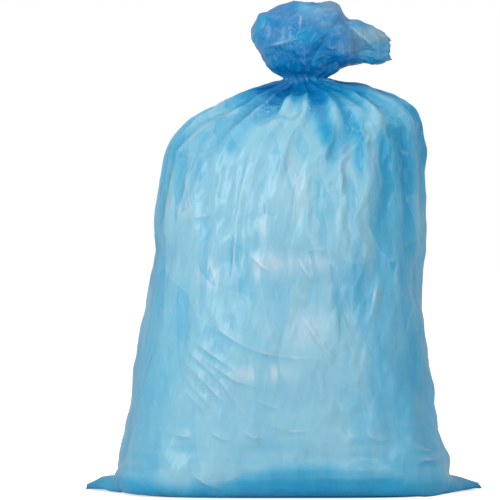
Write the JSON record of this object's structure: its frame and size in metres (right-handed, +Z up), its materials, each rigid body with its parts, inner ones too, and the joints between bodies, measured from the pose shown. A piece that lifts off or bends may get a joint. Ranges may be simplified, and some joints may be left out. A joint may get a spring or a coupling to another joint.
{
  "type": "garbage bag",
  "caption": "Filled blue plastic garbage bag standing on its flat bottom, gathered and tied in its own film at the neck, with a loose end folded to one side and an ear at each bottom corner.",
  "frame": {"origin": "middle of the footprint, on the floor", "axes": "+Z up, +X along the bottom seal to the viewer's right, -Y to the front"},
  "size_m": [0.6258, 0.3952, 0.7588],
  "materials": {
    "blue_film": "translucent blue film, soft gloss, wrinkled"
  },
  "bodies": {
    "root": {"garbage_bag": "blue_film"}
  },
  "joints": []
}
